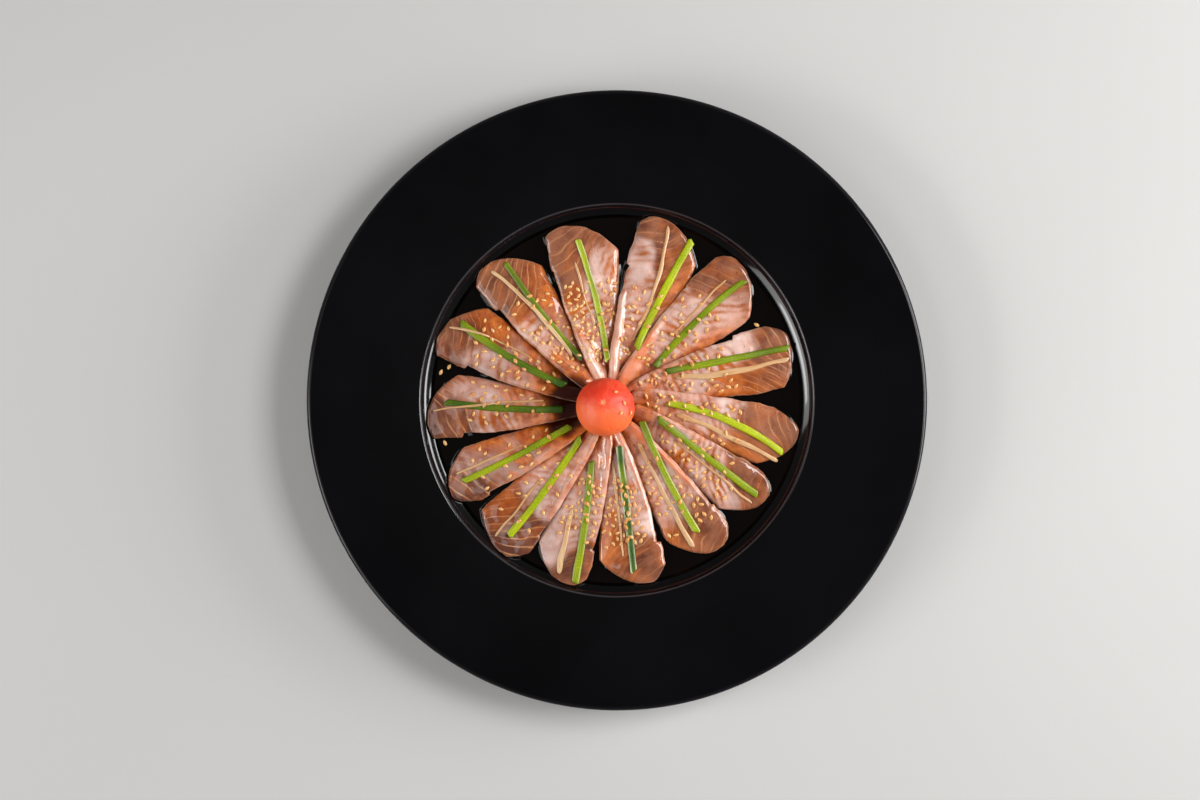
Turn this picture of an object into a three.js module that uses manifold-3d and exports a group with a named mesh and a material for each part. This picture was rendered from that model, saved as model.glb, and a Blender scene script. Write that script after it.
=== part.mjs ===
// A plate of sashimi: a wide-rimmed black plate whose well holds a shallow pool of dark sauce,
// a rosette of thin fish slices, a strip of chive and a strip of ginger on each slice,
// toasted sesame seeds, and a peeled cherry tomato in the middle.
//
// Millimetres, +Z up. The origin is the centre of the foot ring, on the surface the plate stands on.
// Every slice overlaps the one before it, all the way round, like the blades of a shutter:
// at any point, each slice lies one slice's thickness and a small gap above the one before it.

import * as THREE from 'three';
import { mergeVertices } from 'three/addons/utils/BufferGeometryUtils.js';
import Module from 'manifold-3d';

const wasm = await Module();
wasm.setup();

// ---------------------------------------------------------------- driving dimensions

const TURN = 2 * Math.PI;
const GAP = 0.35; // clearance between pieces that lie on each other

const plate = {
  radius: 150,
  lipRadius: 2.2, // rounding of the outer edge
  rimHeight: 24, // top of the outer edge
  wellRadius: 95, // where the rim turns down into the well
  wellEdgeHeight: 16.5,
  wellEdgeRounding: 1.4,
  floorRadius: 81,
  floorHeight: 8.2,
  wallCurve: 21, // radius of the curve from the floor up the wall
  wallSlope: 39, // how steep the curve gets, in degrees
  thickness: 5.2,
  footRadius: 80,
  footWidth: 6,
  footRecess: 3,
  segments: 56,
};

const sauceDepth = 2.2;
const sauceTop = plate.floorHeight + sauceDepth;

// The rosette's centre, where the tomato sits, is a little off the plate's centre.
const rosette = { x: -5.7, y: -3.3 };

const fish = {
  bed: sauceTop + GAP, // lowest level of a slice's underside
  innerRadius: 10.5, // where the slices end under the tomato
  innerHalf: 2.8, // half width there
  shoulder: 73, // where a slice reaches its full width
  widening: 0.7, // exponent of the width's growth towards the shoulder
  thickness: 2.3,
  edgeThickness: 1.2,
  peak: -0.42, // where across the tip the slice reaches farthest, from -1 left to 1 right
  tipRoundness: 2.3, // exponent of the tip's outline
  step: 2.75, // how much higher each slice lies than the one before it
  spread: [0.9, 0.6], // how far a slice spreads to its right, near the middle and farther out, in slices
  spreadUntil: 50,
  relaxFrom: 62, // from here outwards the slices no longer overlap, and lie flatter
  relaxTo: 86,
  relaxed: 0.35,
  wallGap: 0.5, // clearance between a tip and the well's wall
  curl: 1.5, // height of the rolled left edge near the middle
  curlUntil: 52,
  notchAt: 69, // where a slice's left edge steps in
  notchLength: 16,
  across: 6, // facets
  along: 9,
};

// One line per slice, clockwise from the top. bearing: the direction of its middle line, in degrees
// anticlockwise from +X. reach: the tip's distance from the rosette's centre. half: half its width at the
// shoulder. lean: how far its inner end is shifted to the right. left, right: how far back the tip's two
// corners lie. notch: how far the left edge steps in. seeds: how many sesame seeds lie on it, between
// the radii in near and between the places across it in wide, from -1 left to 1 right.
const slices = [
  { bearing: 98.2, reach: 90, half: 17.1, lean: 1.5, left: 4, right: 15, notch: 0.8, seeds: 17, near: [24, 58], wide: [-0.85, 0.9] },
  { bearing: 69, reach: 96, half: 16.4, lean: 1, left: 5, right: 16, notch: 1.6, seeds: 8, near: [24, 60], wide: [-0.6, 0.7] },
  { bearing: 43, reach: 96, half: 16.6, lean: -2.4, left: 7, right: 15, notch: 0.6, seeds: 10, near: [32, 74], wide: [-0.9, 0.6] },
  { bearing: 16.3, reach: 95.5, half: 15.6, lean: -3.4, left: 10, right: 9, notch: 1.8, seeds: 10, near: [20, 66], wide: [-0.8, 0.8] },
  { bearing: -11.1, reach: 95, half: 14.3, lean: -8.8, left: 15, right: 17, notch: 0, seeds: 9, near: [22, 72], wide: [-0.7, 0.9] },
  { bearing: -32.4, reach: 90.5, half: 13.6, lean: -6.8, left: 8, right: 18, notch: 0.4, seeds: 10, near: [28, 78], wide: [-0.7, 0.8] },
  { bearing: -54.3, reach: 88.5, half: 15.2, lean: -3, left: 8, right: 19, notch: 1, seeds: 9, near: [36, 76], wide: [-0.7, 0.9] },
  { bearing: -80.1, reach: 88, half: 15.8, lean: -1.6, left: 8, right: 15, notch: 2, seeds: 15, near: [38, 68], wide: [-0.6, 1] },
  { bearing: -106, reach: 88, half: 14.4, lean: -4.4, left: 5, right: 17, notch: 1.2, seeds: 10, near: [36, 68], wide: [-1, 0.6] },
  { bearing: -129, reach: 86.8, half: 15.4, lean: -3, left: 8, right: 10, notch: 0.8, seeds: 6, near: [36, 74], wide: [-0.8, 0.8] },
  { bearing: -153.9, reach: 86.2, half: 13.7, lean: -2.6, left: 12, right: 16, notch: 1.4, seeds: 6, near: [30, 72], wide: [-0.8, 0.8] },
  { bearing: 179.6, reach: 86.5, half: 15.6, lean: 0, left: 3, right: 15, notch: 2, seeds: 8, near: [28, 68], wide: [-0.6, 0.9] },
  { bearing: 152.2, reach: 88, half: 16, lean: 0, left: 4, right: 15, notch: 2, seeds: 11, near: [28, 78], wide: [-0.8, 0.9] },
  { bearing: 126.4, reach: 90, half: 15.7, lean: 1, left: 6, right: 16, notch: 1.8, seeds: 9, near: [24, 80], wide: [-0.8, 0.8] },
];

// The strip of chive and the strip of ginger on each slice, from the outer to the inner end, each end as
// [bearing in degrees, distance from the rosette's centre]. bow: how far the middle stands to the right.
const chives = [
  { outer: [99.3, 82.8], inner: [86.7, 22.5], bow: 1.6, width: 3.1 },
  { outer: [62.4, 91.5], inner: [62, 32], bow: -0.9, width: 3.6 },
  { outer: [42.2, 91.7], inner: [38.8, 31], bow: -2.2, width: 3.4 },
  { outer: [17.9, 94], inner: [30.3, 34], bow: 0, width: 3.3 },
  { outer: [-14.5, 89.4], inner: [3.9, 30], bow: -4, width: 3.5 },
  { outer: [-30, 85.7], inner: [-12, 26], bow: 0.4, width: 3.5 },
  { outer: [-53.7, 75.5], inner: [-21, 19], bow: 1.3, width: 3.5 },
  { outer: [-80.1, 81.4], inner: [-70, 20], bow: 0, width: 3.6 },
  { outer: [-99.7, 87], inner: [-103.9, 27], bow: -0.8, width: 3.6 },
  { outer: [-126.8, 78.2], inner: [-128.7, 19], bow: -1.2, width: 3.6 },
  { outer: [-152.4, 78.2], inner: [-151.1, 19], bow: -0.8, width: 3.3 },
  { outer: [178.2, 78], inner: [-177.1, 20], bow: -1.4, width: 3.4 },
  { outer: [149.8, 81.4], inner: [151.6, 22], bow: -2, width: 3.8 },
  { outer: [124.7, 85.5], inner: [115.6, 26], bow: -1.3, width: 2.9 },
];
const gingers = [
  { outer: [101.8, 72], inner: [97.2, 39], bow: 0, width: 1.2 },
  { outer: [70.7, 93.2], inner: [67.6, 35.5], bow: 2.6, width: 1.5 },
  { outer: [46.5, 85.3], inner: [47.7, 46], bow: 0.2, width: 1.3 },
  { outer: [14.6, 92.5], inner: [22.6, 37], bow: 1.6, width: 2.2 },
  { outer: [-17.4, 88.2], inner: [-5.6, 35], bow: -1, width: 1.8 },
  { outer: [-33.2, 85.4], inner: [-26, 37], bow: -0.4, width: 1.3 },
  { outer: [-57.9, 80.5], inner: [-47, 24], bow: 0.6, width: 1.8 },
  { outer: [-83.1, 73.2], inner: [-81.8, 26], bow: 0.2, width: 1.4 },
  { outer: [-105.6, 84.1], inner: [-108, 52], bow: 0, width: 2.4 },
  { outer: [-130.4, 82.5], inner: [-131.6, 46], bow: 0, width: 1.2 },
  { outer: [-155.8, 79.5], inner: [-155.5, 44], bow: 0, width: 1.2 },
  { outer: [-178.8, 83.5], inner: [174, 30], bow: 0.8, width: 1.1 },
  { outer: [152.9, 85.2], inner: [146.6, 44], bow: 2.4, width: 1.1 },
  { outer: [129.9, 86.2], inner: [122.6, 29.5], bow: 2.6, width: 1.5 },
];
const strip = {
  chive: { thickness: 1.3, edge: 0.7, across: 2, along: 6 },
  ginger: { thickness: 0.9, edge: 0.9, across: 1, along: 5 },
};

const tomato = { radius: 14.4, squash: 0.93, height: 28.9, around: 18, up: 10 };

const simplifyBy = 0.03; // how far fusing may move a facet
const seed = { length: 3.2, width: 2, height: 1.5, sunk: 0.4, taper: 0.6, clearance: 2, spacing: 3 };
const sauceSeeds = [[165.5, 78.5], [168, 81.8], [192.6, 80], [28.5, 84]]; // [bearing, distance from the rosette]
const tomatoSeeds = [[55, 38], [12, 40], [-20, 34], [-12, 60]]; // [bearing, degrees down from the top]

const colours = {
  plate: [0x151416, 0.5],
  sauce: [0x1c0d08, 0.08],
  fish: [0xc08a6e, 0.3],
  chive: [0x6d9c22, 0.4],
  ginger: [0xd9b679, 0.5],
  tomato: [0xe84a28, 0.35],
};

// ---------------------------------------------------------------- small helpers

const radians = (degrees) => (degrees * Math.PI) / 180;
const clamp = (x, low = 0, high = 1) => Math.min(high, Math.max(low, x));
const mix = (a, b, t) => a + (b - a) * t;
const smooth = (from, to, x) => {
  const t = clamp((x - from) / (to - from));
  return t * t * (3 - 2 * t);
};
const fraction = (x) => x - Math.floor(x);
const neighbour = (index, offset) => slices[(index + offset + slices.length) % slices.length];
const nodeName = (kind, index) => `${kind}_${String(index + 1).padStart(2, '0')}`;

// The point at a bearing and distance from the rosette's centre.
const fromRosette = (bearing, distance) => [
  rosette.x + distance * Math.cos(radians(bearing)),
  rosette.y + distance * Math.sin(radians(bearing)),
];

// A block of facets, each corner placed by a function of its place across, along and up in the block.
function bentBlock(across, along, place) {
  const solid = welded(new THREE.BoxGeometry(2, 1, 1, across, along, 1));
  const points = solid.getAttribute('position');
  for (let i = 0; i < points.count; i += 1) {
    points.setXYZ(i, ...place(points.getX(i), points.getY(i) + 0.5, points.getZ(i) + 0.5));
  }
  return solid;
}

// The geometry with one point at each corner, as a solid needs.
function welded(geometry) {
  geometry.deleteAttribute('normal');
  geometry.deleteAttribute('uv');
  return mergeVertices(geometry);
}

function toManifold(geometry) {
  const vertProperties = new Float32Array(geometry.getAttribute('position').array);
  const triVerts = new Uint32Array(geometry.index.array);
  return new wasm.Manifold(new wasm.Mesh({ numProp: 3, vertProperties, triVerts }));
}

function fromManifold(solid) {
  const { vertProperties, triVerts } = solid.getMesh();
  const geometry = new THREE.BufferGeometry();
  geometry.setAttribute('position', new THREE.BufferAttribute(vertProperties, 3));
  geometry.setIndex(new THREE.BufferAttribute(triVerts, 1));
  return geometry;
}

// ---------------------------------------------------------------- plate and sauce

// Points of an arc in the profile plane, as [radius, height], between two angles in degrees.
function arc(centreR, centreZ, radius, from, to, steps) {
  return Array.from({ length: steps + 1 }, (_, i) => {
    const angle = radians(mix(from, to, i / steps));
    return [centreR + radius * Math.cos(angle), centreZ + radius * Math.sin(angle)];
  });
}

// A profile turned round the Z axis, listed anticlockwise with radius to the right.
function turned(profile, segments) {
  const points = profile.map(([r, z]) => new THREE.Vector2(r, z));
  return new THREE.LatheGeometry(points, segments).rotateX(Math.PI / 2);
}

const curveHeight = plate.floorHeight + plate.wallCurve;
const curveEnd = plate.wallSlope - 90; // the angle at which the wall's curve ends

// The height of the well's surface at a distance from the plate's centre.
function wellHeight(radius) {
  const beyond = clamp(radius - plate.floorRadius, 0, plate.wallCurve * Math.sin(radians(plate.wallSlope)));
  return curveHeight - Math.sqrt(plate.wallCurve ** 2 - beyond ** 2);
}

function plateGeometry() {
  const p = plate;
  const underside = p.floorHeight - p.thickness;
  const edge = p.wellEdgeRounding;
  return turned([
    [0, p.footRecess],
    [p.footRadius - p.footWidth - 1, p.footRecess],
    [p.footRadius - p.footWidth, 0],
    [p.footRadius, 0],
    [p.footRadius + 1.5, underside],
    ...arc(p.floorRadius, curveHeight, p.wallCurve + p.thickness, -76, curveEnd, 2),
    [p.wellRadius + p.thickness + 2, p.wellEdgeHeight - p.thickness],
    ...arc(p.radius - p.lipRadius, p.rimHeight - p.lipRadius, p.lipRadius, -85, 85, 3),
    ...arc(p.wellRadius + edge, p.wellEdgeHeight - edge, edge, 95, 175, 2),
    ...arc(p.floorRadius, curveHeight, p.wallCurve, curveEnd, -90, 4),
    [0, p.floorHeight],
  ], p.segments);
}

// The pool's edge follows the curve of the well, a small gap away from it.
function sauceGeometry() {
  const radius = plate.wallCurve - GAP;
  const brim = (-180 / Math.PI) * Math.asin((curveHeight - sauceTop) / radius);
  return turned([
    [0, plate.floorHeight + GAP],
    ...arc(plate.floorRadius, curveHeight, radius, -88, brim, 2),
    [0, sauceTop],
  ], plate.segments);
}

// ---------------------------------------------------------------- fish slices

// Half a slice's width, and how far its middle is shifted to the right, at a distance along it.
const widthGrowth = (along) => clamp((along - fish.innerRadius) / (fish.shoulder - fish.innerRadius));
const halfWidth = (slice, along) => mix(fish.innerHalf, slice.half, widthGrowth(along) ** fish.widening);
const shift = (slice, along) => slice.lean * (1 - along / slice.reach);

// How far the tip's outline reaches at p across it, from -1 left to 1 right.
function tipReach(slice, p) {
  const left = slice.left * Math.max(0, (fish.peak - p) / (1 + fish.peak)) ** fish.tipRoundness;
  const right = slice.right * Math.max(0, (p - fish.peak) / (1 - fish.peak)) ** fish.tipRoundness;
  return slice.reach - left - right;
}

// How many slices lie between a slice's middle line and a bearing, clockwise, as a continuous number.
function slicesFrom(index, bearing) {
  const here = slices[index].bearing;
  const turnTo = (to) => 360 * fraction((here - to) / 360);
  const off = 360 * (fraction((here - bearing) / 360 + 0.5) - 0.5);
  return off > 0 ? off / turnTo(neighbour(index, 1).bearing) : off / (360 - turnTo(neighbour(index, -1).bearing));
}

// A slice's underside at a point of the plate, before its edges curl. Its tip leans on the well's wall.
function undersideOf(index, x, y) {
  const f = fish;
  const bearing = (Math.atan2(y - rosette.y, x - rosette.x) * 180) / Math.PI;
  const radius = Math.hypot(x - rosette.x, y - rosette.y);
  const spread = mix(...f.spread, smooth(f.innerRadius, f.spreadUntil, radius));
  const slope = mix(1, f.relaxed, smooth(f.relaxFrom, f.relaxTo, radius));
  const stacked = f.bed + Math.max(0, spread - slicesFrom(index, bearing)) * f.step * slope;
  return Math.max(stacked, wellHeight(Math.hypot(x, y)) + f.wallGap);
}

// A point of a slice: p across it, q from 0 at the middle of the rosette to 1 at the tip, and up from 0 on
// its underside to 1 on its top.
function slicePoint(index, p, q, up) {
  const f = fish;
  const slice = slices[index];
  const along = mix(f.innerRadius + 2 * p * p, tipReach(slice, p), q);
  const inNotch = along < f.notchAt ? clamp(1 - (f.notchAt - along) / f.notchLength) : 0;
  const leftness = Math.max(0, -p);
  const across = shift(slice, along) + p * halfWidth(slice, along) + slice.notch * inNotch * leftness ** 3;
  const angle = radians(slice.bearing);
  const x = rosette.x + along * Math.cos(angle) + across * Math.sin(angle);
  const y = rosette.y + along * Math.sin(angle) - across * Math.cos(angle);
  const curl = f.curl * leftness ** 4 * smooth(12, 22, along) * (1 - smooth(22, f.curlUntil, along));
  const thickness = mix(f.thickness, f.edgeThickness, Math.max(p ** 4, q ** 8));
  return [x, y, undersideOf(index, x, y) + curl + up * thickness];
}

// Whether a slice, widened by a margin, reaches over a point of the plate.
function covers(slice, x, y, margin) {
  const angle = radians(slice.bearing);
  const along = (x - rosette.x) * Math.cos(angle) + (y - rosette.y) * Math.sin(angle);
  const across = (x - rosette.x) * Math.sin(angle) - (y - rosette.y) * Math.cos(angle);
  const p = (across - shift(slice, along)) / halfWidth(slice, along);
  const beside = Math.abs(p) * halfWidth(slice, along) < halfWidth(slice, along) + margin;
  return beside && along > fish.innerRadius - margin && along < tipReach(slice, clamp(p, -1, 1)) + margin;
}

const sliceGeometry = (index) =>
  bentBlock(fish.across, fish.along, (p, q, up) => slicePoint(index, p, q, up));

// ---------------------------------------------------------------- resting pieces on the surface

// The highest surface of some meshes under a point.
const ray = new THREE.Raycaster();
const down = new THREE.Vector3(0, 0, -1);
function surfaceUnder(meshes, x, y) {
  ray.set(new THREE.Vector3(x, y, 100), down);
  const [hit] = ray.intersectObjects(meshes, false);
  return { z: hit ? hit.point.z : sauceTop, normal: hit ? hit.face.normal.clone() : new THREE.Vector3(0, 0, 1) };
}

// A point of a strip's middle line, from t = 0 at its outer end to 1 at its inner end, moved to its right.
function stripPoint(line, t, right = 0) {
  const [x0, y0] = fromRosette(...line.outer);
  const [x1, y1] = fromRosette(...line.inner);
  const length = Math.hypot(x1 - x0, y1 - y0);
  const aside = right + line.bow * 4 * t * (1 - t);
  return [mix(x0, x1, t) + (aside * (y0 - y1)) / length, mix(y0, y1, t) + (aside * (x1 - x0)) / length];
}

// Lays a strip on the meshes under it, clear of the highest facet near each of its stations.
function stripGeometry(line, { thickness, edge, across, along }, meshes) {
  const heights = Array.from({ length: along + 1 }, (_, station) => {
    let highest = sauceTop;
    for (let dt = -1; dt <= 1; dt += 0.25) {
      for (let side = -0.6; side <= 0.6; side += 0.3) {
        const at = stripPoint(line, clamp((station + dt) / along), side * line.width);
        highest = Math.max(highest, surfaceUnder(meshes, ...at).z);
      }
    }
    return highest + GAP;
  });
  return bentBlock(across, along, (p, q, up) => {
    const [x, y] = stripPoint(line, 1 - q, (p * line.width) / 2);
    return [x, y, heights[Math.round((1 - q) * along)] + up * mix(thickness, edge, p * p)];
  });
}

// ---------------------------------------------------------------- tomato

function tomatoGeometry() {
  const ball = new THREE.SphereGeometry(tomato.radius, tomato.around, tomato.up).rotateX(Math.PI / 2);
  return ball.scale(1, 1, tomato.squash).translate(rosette.x, rosette.y, tomato.height);
}

// ---------------------------------------------------------------- sesame seeds

// A five-sided seed, pointed at one end, lying on a surface and sunk a little into it.
function seedGeometry({ x, y, z, normal, turn }) {
  const body = new THREE.CylinderGeometry(seed.taper / 2, 0.5, 1, 5).rotateX(Math.PI / 2);
  body.scale(seed.width, seed.length, seed.height).rotateZ(turn).translate(0, 0, seed.height / 2 - seed.sunk);
  body.applyQuaternion(new THREE.Quaternion().setFromUnitVectors(new THREE.Vector3(0, 0, 1), normal));
  return welded(body.translate(x, y, z));
}

// Whether a seed at a point would keep clear of every strip.
function clearOfStrips(x, y) {
  return [...chives, ...gingers].every((line) => {
    for (let t = 0; t <= 1; t += 0.04) {
      const [sx, sy] = stripPoint(line, t);
      if (Math.hypot(sx - x, sy - y) < line.width / 2 + seed.clearance) return false;
    }
    return true;
  });
}

// Evenly spread places on a slice, from a sequence that fills a square without clumps, kept where the
// slice shows and where a seed is clear of strips, of the next slices and of the seeds before it.
function seedPlaces(index, mesh) {
  const slice = slices[index];
  const places = [];
  for (let i = 1; places.length < slice.seeds && i < 600; i += 1) {
    const along = mix(...slice.near, fraction(0.61 * index + i * 0.5698403));
    const across = mix(...slice.wide, fraction(0.37 * index + i * 0.7548777)) * halfWidth(slice, along);
    const aside = (Math.atan2(shift(slice, along) + across, along) * 180) / Math.PI;
    const [x, y] = fromRosette(slice.bearing - aside, Math.hypot(along, shift(slice, along) + across));
    const onTop = [1, 2, 3].every((offset) => !covers(neighbour(index, offset), x, y, seed.clearance));
    const within = covers(slice, x, y, -seed.clearance);
    const apart = places.every((other) => Math.hypot(other.x - x, other.y - y) > seed.spacing);
    if (onTop && within && apart && clearOfStrips(x, y)) {
      places.push({ x, y, turn: TURN * fraction(i * 0.618034 + index * 0.11), ...surfaceUnder([mesh], x, y) });
    }
  }
  return places;
}

// Fuses seeds to the mesh that they lie on.
function fuseSeeds(mesh, places) {
  let solid = toManifold(welded(mesh.geometry));
  for (const place of places) solid = solid.add(toManifold(seedGeometry(place)));
  mesh.geometry = fromManifold(solid.simplify(simplifyBy));
}

// ---------------------------------------------------------------- assembly

const part = new THREE.Group();

function addMesh(name, geometry, [color, roughness]) {
  const mesh = new THREE.Mesh(geometry, new THREE.MeshStandardMaterial({ color, roughness, metalness: 0 }));
  mesh.name = name;
  part.add(mesh);
  return mesh;
}

addMesh('plate', plateGeometry(), colours.plate);
const pool = addMesh('sauce', sauceGeometry(), colours.sauce);
const fishes = slices.map((_, i) => addMesh(nodeName('fish', i), sliceGeometry(i), colours.fish));
const greens = chives.map((line, i) =>
  addMesh(nodeName('chive', i), stripGeometry(line, strip.chive, fishes), colours.chive));
gingers.forEach((line, i) =>
  addMesh(nodeName('ginger', i), stripGeometry(line, strip.ginger, [...fishes, ...greens]), colours.ginger));
const fruit = addMesh('tomato', tomatoGeometry(), colours.tomato);

fishes.forEach((mesh, i) => fuseSeeds(mesh, seedPlaces(i, mesh)));
const sauceTurn = (bearing) => radians(2 * bearing);
fuseSeeds(pool, sauceSeeds.map(([bearing, distance]) => {
  const [x, y] = fromRosette(bearing, distance);
  return { x, y, turn: sauceTurn(bearing), ...surfaceUnder([pool], x, y) };
}));
fuseSeeds(fruit, tomatoSeeds.map(([bearing, fall]) => {
  const [x, y] = fromRosette(bearing, tomato.radius * Math.sin(radians(fall)));
  return { x, y, turn: sauceTurn(bearing), ...surfaceUnder([fruit], x, y) };
}));

export default part;
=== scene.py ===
# A plate of sashimi seen in soft studio light: a wide-rimmed satin black plate, a shallow pool of dark
# citrus sauce, a rosette of thin raw fish slices, a strip of chive and a strip of ginger on each slice,
# toasted sesame seeds, and a peeled cherry tomato in the middle.
#
# Places and sizes are worked out in millimetres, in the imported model's own frame, and become metres when
# a mesh is made. Every piece stays where the solid that it stands for lies, but the sesame seeds on the
# slices don't lie just where the solids' own seeds do.

import math
from collections import namedtuple

import bmesh
import bpy
from mathutils import Matrix, Vector, noise


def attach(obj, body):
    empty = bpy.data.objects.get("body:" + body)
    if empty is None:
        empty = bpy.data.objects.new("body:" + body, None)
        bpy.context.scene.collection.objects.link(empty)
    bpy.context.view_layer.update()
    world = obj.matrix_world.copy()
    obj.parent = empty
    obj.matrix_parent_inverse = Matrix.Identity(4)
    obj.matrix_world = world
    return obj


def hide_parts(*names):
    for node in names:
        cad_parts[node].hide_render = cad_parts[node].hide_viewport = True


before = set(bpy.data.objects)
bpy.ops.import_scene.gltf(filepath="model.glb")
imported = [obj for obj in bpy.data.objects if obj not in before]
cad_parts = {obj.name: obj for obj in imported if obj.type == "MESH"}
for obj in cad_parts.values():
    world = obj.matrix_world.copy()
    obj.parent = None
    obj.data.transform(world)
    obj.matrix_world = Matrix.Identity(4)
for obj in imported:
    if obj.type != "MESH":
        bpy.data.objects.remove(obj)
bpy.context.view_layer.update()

MM = 0.001
TURN = 2 * math.pi
FAR = 99.0  # a distance in millimetres beyond any that matters

# ------------------------------------------------------------------ driving dimensions, in millimetres

PLATE = dict(
    radius=150, lip_radius=2.2, rim_height=24, well_radius=95, well_edge_height=16.5, well_edge_rounding=1.4,
    floor_radius=81, floor_height=8.2, wall_curve=21, wall_slope=39, thickness=5.2,
    foot_radius=80, foot_width=6, foot_recess=3, foot_rounding=1, foot_fillets=(0.6, 0.8), around=256,
)
SAUCE_TOP = PLATE["floor_height"] + 2.2
POOL = dict(rings=124, around=720, inner=24, climb=0.75, climb_length=1.4, wall_climb=0.5)

ROSETTE = (-5.7, -3.3)  # the middle of the slices, a little off the plate's centre

FISH = dict(
    bed=SAUCE_TOP + 0.35, inner_radius=10.5, inner_half=2.8, shoulder=73, widening=0.7, thickness=2.3,
    edge_thickness=1.2, peak=-0.42, tip_roundness=2.3, step=2.75, spread=(0.9, 0.6), spread_until=50,
    relax_from=62, relax_to=86, relaxed=0.35, wall_gap=0.5, curl=1.5, curl_until=52,
    notch_at=69, notch_length=16,
)
SLICE_CELLS = (44, 112)  # across and along a slice
FLAKE = 3.4  # width of a flake of the fish's muscle
SLICE_MAP = (100, 40)  # one unit of a slice's own map: millimetres across it, and flakes along it
STRIP_MAP = 10  # one unit along a strip's own map, in millimetres

# bearing, reach, half, lean, left, right, notch: a slice's outline. seeds: how many sesame seeds its solid
# holds, and more: how many are added, between the distances in near and the places across it in wide.
# pale: how far the pale, less soaked flesh reaches at the left and at the right edge. fold: how much the
# left edge rolls up near the middle, how far out, and how wide the roll is. blush: how orange the roll is.
# rich: how orange the right edge is. lines: how clear the flakes' seams are at the tip and in the middle.
# shade: how milky the pale flesh and how light the tip is, partly the flesh's own tone and partly painted
# shade, set lower on the slices at the left.
Slice = namedtuple(
    "Slice", "bearing reach half lean left right notch seeds more near wide pale fold blush rich lines shade"
)
SLICES = [
    Slice(98.2, 90, 17.1, 1.5, 4, 15, 0.8, 17, 40, (22, 62), (-0.85, 0.9),
          (50, 76), (1.2, 40, 3.6), 0.0, 0.6, (0.5, 0.7), (0.95, 0.95)),
    Slice(69, 96, 16.4, 1, 5, 16, 1.6, 8, 12, (24, 60), (-0.6, 0.7),
          (83, 50), (1.1, 54, 2.6), 0.3, 0.9, (0.35, 0.45), (0.74, 0.45)),
    Slice(43, 96, 16.6, -2.4, 7, 15, 0.6, 10, 20, (28, 74), (-0.9, 0.6),
          (70, 84), (0.9, 50, 3.2), 0.95, 0.8, (0.25, 0.5), (0.78, 0.6)),
    Slice(16.3, 95.5, 15.6, -3.4, 10, 9, 1.8, 10, 20, (18, 66), (-0.8, 0.8),
          (80, 52), (0.4, 40, 2.4), 0.4, 0.7, (0.8, 0.65), (1.0, 0.6)),
    Slice(-11.1, 95, 14.3, -8.8, 15, 17, 0, 9, 22, (18, 66), (-0.7, 0.9),
          (66, 56), (0.35, 44, 3), 0.6, 0.6, (0.4, 0.5), (1.0, 0.95)),
    Slice(-32.4, 90.5, 13.6, -6.8, 8, 18, 0.4, 10, 22, (26, 74), (-0.7, 0.8),
          (62, 80), (0.4, 46, 2.4), 0.6, 0.4, (0.3, 0.7), (0.96, 0.55)),
    Slice(-54.3, 88.5, 15.2, -3, 8, 19, 1, 9, 22, (34, 74), (-0.7, 0.9),
          (60, 64), (0.9, 60, 2.6), 0.9, 0.7, (0.6, 0.4), (0.84, 0.8)),
    Slice(-80.1, 88, 15.8, -1.6, 8, 15, 2, 15, 36, (36, 68), (-0.6, 1),
          (64, 52), (0.6, 50, 2.2), 0.6, 0.9, (0.4, 0.4), (0.94, 0.7)),
    Slice(-106, 88, 14.4, -4.4, 5, 17, 1.2, 10, 26, (34, 66), (-1, 0.6),
          (66, 84), (0.5, 48, 2.2), 0.5, 0.2, (0.15, 0.3), (0.68, 0.6)),
    Slice(-129, 86.8, 15.4, -3, 8, 10, 0.8, 6, 8, (34, 74), (-0.8, 0.8),
          (60, 56), (0.5, 60, 2.8), 0.4, 0.6, (0.65, 0.3), (0.82, 0.0)),
    Slice(-153.9, 86.2, 13.7, -2.6, 12, 16, 1.4, 6, 10, (28, 72), (-0.8, 0.8),
          (64, 78), (0.6, 50, 3), 0.7, 0.6, (0.6, 0.3), (0.32, 0.2)),
    Slice(179.6, 86.5, 15.6, 0, 3, 15, 2, 8, 14, (26, 66), (-0.6, 0.9),
          (63, 74), (0.5, 45, 3), 0.7, 0.5, (0.65, 0.45), (0.76, 0.2)),
    Slice(152.2, 88, 16, 0, 4, 15, 2, 11, 18, (24, 72), (-0.8, 0.9),
          (72, 54), (0.7, 46, 3), 0.4, 0.9, (0.4, 0.4), (0.6, 0.35)),
    Slice(126.4, 90, 15.7, 1, 6, 16, 1.8, 9, 26, (22, 66), (-0.8, 0.8),
          (58, 50), (1.3, 52, 4.2), 0.05, 0.8, (0.7, 0.6), (0.78, 0.7)),
]
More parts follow.
